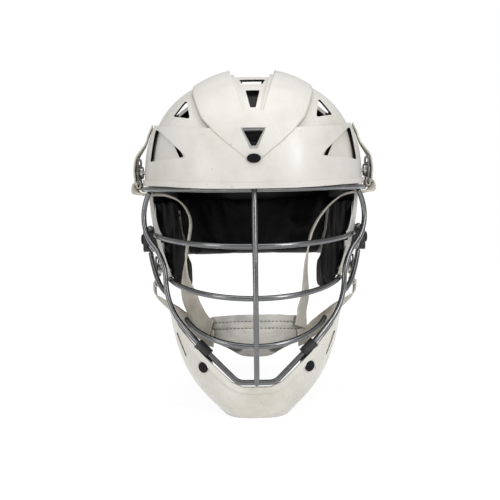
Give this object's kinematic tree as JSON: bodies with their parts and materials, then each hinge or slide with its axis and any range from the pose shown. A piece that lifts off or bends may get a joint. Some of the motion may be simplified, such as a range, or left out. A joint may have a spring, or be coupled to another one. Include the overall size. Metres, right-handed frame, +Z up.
{
  "type": "field sport helmet",
  "caption": "Vented hard-shell sports helmet with visor, welded wire face guard, chin guard, foam liner and a padded chin cup on press studs.",
  "frame": {"origin": "centre of the bounding box in plan, at the lowest point of the chin guard", "axes": "+Z up as worn, -Y is the face side, +X and -X are the two sides; the helmet mirrors about the plane X = 0"},
  "size_m": [0.2374, 0.3078, 0.3301],
  "materials": {
    "shell_white": "slightly warm white, light scuffs",
    "guard_cream": "cream white, scuffed at the lower edge",
    "wire_dark": "dark grey satin coat",
    "clip_black": "moulded black",
    "screw_black": "black oxide",
    "snap_steel": "nickel-plated press studs",
    "buckle_steel": "dulled plate",
    "webbing": "woven beige",
    "cup_hide": "stitched cream synthetic hide",
    "cup_lining": "soft lining",
    "liner_black": "black covered foam"
  },
  "bodies": {
    "helmet": {"crown_shell": "shell_white", "visor": "shell_white", "front_screw": "screw_black", "chin_guard": "guard_cream", "brow_pad": "liner_black", "rear_pad": "liner_black", "front_top_pad": "liner_black", "crown_top_pad": "liner_black", "rear_top_pad": "liner_black", "mask_top_bar": "wire_dark", "mask_side_wire": "wire_dark", "mask_upper_bar": "wire_dark", "mask_middle_bar": "wire_dark", "mask_lower_bar": "wire_dark", "mask_centre_bar": "wire_dark", "mask_return_left": "wire_dark", "mask_return_right": "wire_dark", "mask_jaw_wire_left": "wire_dark", "mask_jaw_wire_right": "wire_dark", "mask_clip_left": "clip_black", "mask_clip_right": "clip_black", "mask_screw_left": "screw_black", "mask_screw_right": "screw_black", "chin_clip_left": "clip_black", "chin_clip_right": "clip_black", "chin_screw_left": "screw_black", "chin_screw_right": "screw_black", "upper_stud_left": "snap_steel", "upper_stud_right": "snap_steel", "lower_stud_left": "snap_steel", "lower_stud_right": "snap_steel", "temple_pad_left": "liner_black", "temple_pad_right": "liner_black", "jaw_pad_left": "liner_black", "jaw_pad_right": "liner_black", "side_top_pad_left": "liner_black", "side_top_pad_right": "liner_black"},
    "chin_strap": {"chin_cup": "cup_hide", "chin_cup_pad": "cup_lining", "upper_buckle_left": "buckle_steel", "upper_buckle_right": "buckle_steel", "upper_strap_left": "webbing", "upper_strap_right": "webbing", "lower_strap_left": "webbing", "lower_strap_right": "webbing"},
    "lower_snap_left": {"lower_buckle_left": "buckle_steel"},
    "lower_snap_right": {"lower_buckle_right": "buckle_steel"}
  },
  "joints": [
    {"name": "chin_strap_swing", "type": "hinge", "parent": "helmet", "child": "chin_strap", "pos_m": [0, -0.046, 0.226], "axis": [1, 0, 0], "range_deg": [-8, 10], "deforming": ["upper_strap_left", "upper_strap_right", "lower_strap_left", "lower_strap_right"]},
    {"name": "lower_snap_turn_left", "type": "hinge", "parent": "helmet", "child": "lower_snap_left", "pos_m": [-0.098, -0.038, 0.129], "axis": [1, 0, 0], "range_deg": [-12, 12]},
    {"name": "lower_snap_turn_right", "type": "hinge", "parent": "helmet", "child": "lower_snap_right", "pos_m": [0.098, -0.038, 0.129], "axis": [1, 0, 0], "range_deg": [-12, 12]}
  ]
}
